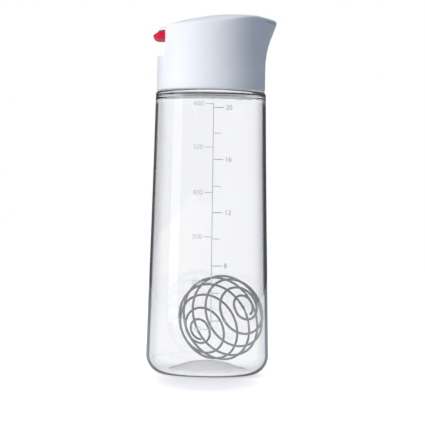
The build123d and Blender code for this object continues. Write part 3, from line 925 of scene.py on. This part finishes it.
# Bends a flat print in the XZ plane round the bottle
def buildWrap():
    tree, given, result = newGroup(
        "wrapOnBottle",
        "GeometryNodeTree",
        {
            "Geometry": ("NodeSocketGeometry", None),
            "Base Radius": ("NodeSocketFloat", bottleWall["baseRadius"]),
            "Base Height": ("NodeSocketFloat", bottleWall["baseHeight"]),
            "Top Radius": ("NodeSocketFloat", bottleWall["topRadius"]),
            "Top Height": ("NodeSocketFloat", bottleWall["topHeight"]),
            "Waist": ("NodeSocketFloat", bottleWall["waist"]),
            "Lift": ("NodeSocketFloat", graduation["lift"]),
            "Turned": ("NodeSocketFloat", 0.0),
            "Material": ("NodeSocketMaterial", None),
        },
        {"Geometry": "NodeSocketGeometry"},
    )
    point = tree.nodes.new("GeometryNodeInputPosition").outputs[0]
    position = addNode(tree, "ShaderNodeSeparateXYZ", {0: point})
    above = maths(tree, "SUBTRACT", position.outputs["Z"], given["Base Height"])
    share = maths(tree, "DIVIDE", above, maths(tree, "SUBTRACT", given["Top Height"], given["Base Height"]))
    taper = maths(tree, "MULTIPLY", maths(tree, "SUBTRACT", given["Top Radius"], given["Base Radius"]), share)
    bow = maths(tree, "MULTIPLY", share, inverse(tree, share))
    bow = maths(tree, "MULTIPLY", maths(tree, "MULTIPLY", bow, given["Waist"]), 4.0)
    radius = maths(tree, "SUBTRACT", maths(tree, "ADD", given["Base Radius"], taper), bow)
    radius = maths(tree, "ADD", radius, given["Lift"])
    angle = maths(tree, "ADD", maths(tree, "DIVIDE", position.outputs["X"], radius), given["Turned"])
    inputs = {
        "X": maths(tree, "MULTIPLY", maths(tree, "SINE", angle), radius),
        "Y": maths(tree, "MULTIPLY", maths(tree, "COSINE", angle), maths(tree, "MULTIPLY", radius, -1.0)),
        "Z": position.outputs["Z"],
    }
    place = addNode(tree, "ShaderNodeCombineXYZ", inputs).outputs[0]
    return endTree(tree, result, moveTo(tree, given["Geometry"], place), given["Material"])


def addStrip(vertices, faces, low, high, parts=1):
    for number in range(parts):
        bottom = low[1] + (high[1] - low[1]) * number / parts
        top = low[1] + (high[1] - low[1]) * (number + 1) / parts
        first = len(vertices)
        vertices += [(low[0], 0, bottom), (high[0], 0, bottom), (high[0], 0, top), (low[0], 0, top)]
        faces.append((first, first + 1, first + 2, first + 3))


def textMesh(words, sizes, place, align):
    font = bpy.data.curves.new("words", "FONT")
    font.body = words
    font.size = sizes["textHeight"] / sizes["figureShare"]
    font.align_x = align
    font.align_y = "CENTER"
    font.resolution_u = sizes["textSteps"]
    shape = addObject("words", font)
    mesh = plainMesh(shape)
    bpy.data.objects.remove(shape)
    mesh.transform(Matrix.Translation((place[0], 0, place[1])) @ Matrix.Rotation(math.pi / 2, 4, "X"))
    return mesh


def makeGraduation(sizes):
    vertices, faces, words = [], [], []
    halfLine = sizes["lineWidth"] / 2
    halfTick = sizes["tickWidth"] / 2
    top = volumeHeight(max(sizes["heights"])) + halfTick
    addStrip(vertices, faces, (-halfLine, sizes["lineHeight"]), (halfLine, top), sizes["lineParts"])
    for volume in sizes["heights"]:
        height = volumeHeight(volume)
        end = -halfLine - sizes["tick"]
        addStrip(vertices, faces, (end, height - halfTick), (-halfLine, height + halfTick))
        words.append(textMesh(str(volume), sizes, (end - sizes["textGap"], height), "RIGHT"))
    for ounces in sizes["ounces"]:
        height = volumeHeight(ounces * sizes["ounce"])
        numbered = ounces % sizes["numbered"] == 0
        end = halfLine + (sizes["ounceTick"] if numbered else sizes["ounceShortTick"])
        addStrip(vertices, faces, (halfLine, height - halfTick), (end, height + halfTick))
        if numbered:
            words.append(textMesh(str(ounces), sizes, (end + sizes["textGap"], height), "LEFT"))
    for mesh in words:
        first = len(vertices)
        vertices += [tuple(vertex.co) for vertex in mesh.vertices]
        faces += [tuple(first + corner for corner in polygon.vertices) for polygon in mesh.polygons]
    flat = bpy.data.meshes.new("graduation")
    flat.from_pydata(vertices, [], faces)
    inputs = {"Turned": sizes["turned"], "Material": greyPrint}
    piece = growPiece("graduation", buildWrap(), inputs, mesh=flat)
    depth = piece.modifiers.new("printDepth", "SOLIDIFY")
    depth.thickness = sizes["printDepth"]
    depth.offset = 1.0
    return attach(piece, "bottle")


makeGraduation(graduation)
print("graduation printed")


# Camera, where the photograph was taken from
camera = {
    "distance": 1.35,
    "height": 0.095,
    "aimX": 0.0021,
    "aimZ": 0.1032,
    "fieldWidth": 0.2711,  # what the frame takes in at the bottle
    "sensor": 36.0,
    "roll": 0.0145,
    "clip": (0.1, 50.0),
}


def makeCamera(look):
    data = bpy.data.cameras.new("camera")
    data.sensor_width = look["sensor"]
    data.lens = look["sensor"] * look["distance"] / look["fieldWidth"]
    data.clip_start, data.clip_end = look["clip"]
    eye = addObject("camera", data)
    eye.location = (look["aimX"], -look["distance"], look["height"])
    aim = Vector((look["aimX"], 0, look["aimZ"])) - eye.location
    roll = Matrix.Rotation(look["roll"], 3, "Z").to_quaternion()
    eye.rotation_mode = "QUATERNION"
    eye.rotation_quaternion = aim.to_track_quat("-Z", "Y") @ roll
    bpy.context.scene.camera = eye


makeCamera(camera)

# Studio: a large soft light at the front left, a small one at the left for the
# bottle's highlight, one above, and pale surroundings
studio = {
    "surround": (0.55, 0.70, 0.95),
    "surroundLevel": 0.295,
    "background": (1.0, 1.0, 1.0),
    "mirrorLevel": 0.16,  # of the background in reflections at eye height
    "mirrorRise": (0.2, 0.8),  # up to the full background above and below
    "insideLevel": 0.3,  # of the background at the right, in what the bottle mirrors inside
    "insideTurn": (-0.7, 0.5),  # from the full background at the left to it
    "insideRise": (0.05, 0.3),  # and up to the full background overhead
    "floorSize": 6.0,
    "floorTone": (0.80, 0.805, 0.82),
    "floorRoughness": 0.8,
    "floorGlowWithPaintedShade": (0.36, 0.9),  # in the painted shade by the bottle, and away from it
    "floorGlowTone": (1.0, 0.964, 0.905),
    "floorMirror": 0.3,  # share of that glow in reflections
    "floorThrough": 0.97,  # level of the floor as seen through the bottle
    "paintedShadeCentre": (0, -0.07, 0),  # the painted shade falls to the front
    "paintedShadeStretch": (1.0, 2.6, 1.0),
    "paintedShadeReach": (0.015, 0.06),
    "aim": Vector((0, 0, 0.12)),
}
lights = {
    "keyLight": {
        "place": Vector((-0.92, -0.92, 0.42)),
        "size": (0.7, 1.0),
        "power": 14.2,
        "tone": (1, 0.985, 0.965),
        "mirrored": False,
    },
    "stripLight": {
        "place": Vector((-1.04, -0.36, 0.14)),
        "size": (0.42, 0.5),
        "power": 1.2,
        "tone": (1, 1, 1),
        "mirrored": True,
    },
    "topLight": {
        "place": Vector((0.05, 0.25, 1.2)),
        "size": (0.8, 0.8),
        "power": 4.5,
        "tone": (1, 1, 1),
        "mirrored": False,
    },
}


def mixShaders(tree, share, first, second):
    mix = addNode(tree, "ShaderNodeMixShader", {0: share})
    tree.links.new(first.outputs[0], mix.inputs[1])
    tree.links.new(second.outputs[0], mix.inputs[2])
    return mix.outputs[0]


def makeSurroundings(look):
    world = bpy.data.worlds.new("studio")
    world.use_nodes = True
    tree = world.node_tree
    tree.nodes.clear()
    rays = tree.nodes.new("ShaderNodeLightPath").outputs
    toSky = tree.nodes.new("ShaderNodeTexCoord").outputs["Generated"]
    direction = addNode(tree, "ShaderNodeSeparateXYZ", {0: toSky}).outputs
    rise = softStep(tree, maths(tree, "ABSOLUTE", direction["Z"]), *look["mirrorRise"])
    rise = maths(tree, "ADD", look["mirrorLevel"], maths(tree, "MULTIPLY", rise, 1 - look["mirrorLevel"]))
    side = softStep(tree, direction["X"], *look["insideTurn"])
    side = inverse(tree, maths(tree, "MULTIPLY", side, 1 - look["insideLevel"]))
    side = maths(tree, "MAXIMUM", side, softStep(tree, direction["Z"], *look["insideRise"]))
    through = rays["Is Transmission Ray"]
    level = addNode(tree, "ShaderNodeMix", {"Factor": through, "A": rise, "B": side}).outputs[0]
    # 1 for rays that some surface has mirrored, also where they then pass through the bottle
    mirrored = maths(tree, "MINIMUM", rays["Glossy Depth"], 1.0)
    dimmed = maths(tree, "MULTIPLY", mirrored, inverse(tree, level))
    strength = inverse(tree, dimmed)
    lighting = {"Color": (*look["surround"], 1), "Strength": look["surroundLevel"]}
    shown = {"Color": (*look["background"], 1), "Strength": strength}
    seen = maths(tree, "MAXIMUM", rays["Is Camera Ray"], rays["Is Glossy Ray"])
    mixed = mixShaders(
        tree,
        maths(tree, "MAXIMUM", seen, through),
        addNode(tree, "ShaderNodeBackground", lighting),
        addNode(tree, "ShaderNodeBackground", shown),
    )
    addNode(tree, "ShaderNodeOutputWorld", {"Surface": mixed})
    bpy.context.scene.world = world


def makeFloor(look):
    half = look["floorSize"] / 2
    mesh = bpy.data.meshes.new("floor")
    corners = [(-half, -half, 0), (half, -half, 0), (half, half, 0), (-half, half, 0)]
    mesh.from_pydata(corners, [], [(0, 1, 2, 3)])
    floor = addObject("floor", mesh)
    material, tree, surface = startMaterial("floor")
    rays = tree.nodes.new("ShaderNodeLightPath").outputs
    # Painted shadow: the floor glows less in a patch by the bottle, stretched towards the front
    shaded = vectorMaths(tree, "SUBTRACT", objectPlace(tree), look["paintedShadeCentre"])["Vector"]
    shaded = vectorMaths(tree, "DIVIDE", shaded, look["paintedShadeStretch"])["Vector"]
    reach = vectorMaths(tree, "LENGTH", shaded)["Value"]
    near, far = look["floorGlowWithPaintedShade"]
    glow = maths(tree, "MULTIPLY", softStep(tree, reach, *look["paintedShadeReach"]), far - near)
    glow = maths(tree, "ADD", near, glow)
    mirrored = maths(tree, "MULTIPLY", rays["Is Glossy Ray"], look["floorMirror"])
    glow = maths(tree, "MULTIPLY", maths(tree, "MAXIMUM", rays["Is Camera Ray"], mirrored), glow)
    feedAll(
        tree,
        surface.inputs,
        {
            "Base Color": (*look["floorTone"], 1),
            "Roughness": look["floorRoughness"],
            "Specular IOR Level": 0.0,
            "Emission Color": (*look["floorGlowTone"], 1),
            "Emission Strength": glow,
        },
    )
    through = {"Color": (*look["background"], 1), "Strength": look["floorThrough"]}
    through = addNode(tree, "ShaderNodeEmission", through)
    mixed = mixShaders(tree, rays["Is Transmission Ray"], surface, through)
    feed(tree, tree.nodes["Material Output"].inputs["Surface"], mixed)
    mesh.materials.append(material)


def makeLight(name, look, aim):
    data = bpy.data.lights.new(name, "AREA")
    data.shape = "RECTANGLE"
    data.size, data.size_y = look["size"]
    data.energy = look["power"]
    data.color = look["tone"]
    lamp = addObject(name, data)
    lamp.location = look["place"]
    lamp.rotation_mode = "QUATERNION"
    lamp.rotation_quaternion = (aim - look["place"]).to_track_quat("-Z", "Y")
    lamp.visible_glossy = look["mirrored"]
    lamp.visible_transmission = False


makeSurroundings(studio)
makeFloor(studio)
for lightName, light in lights.items():
    makeLight(lightName, light, studio["aim"])
bpy.context.scene.view_settings.view_transform = "Standard"
print("studio lit")
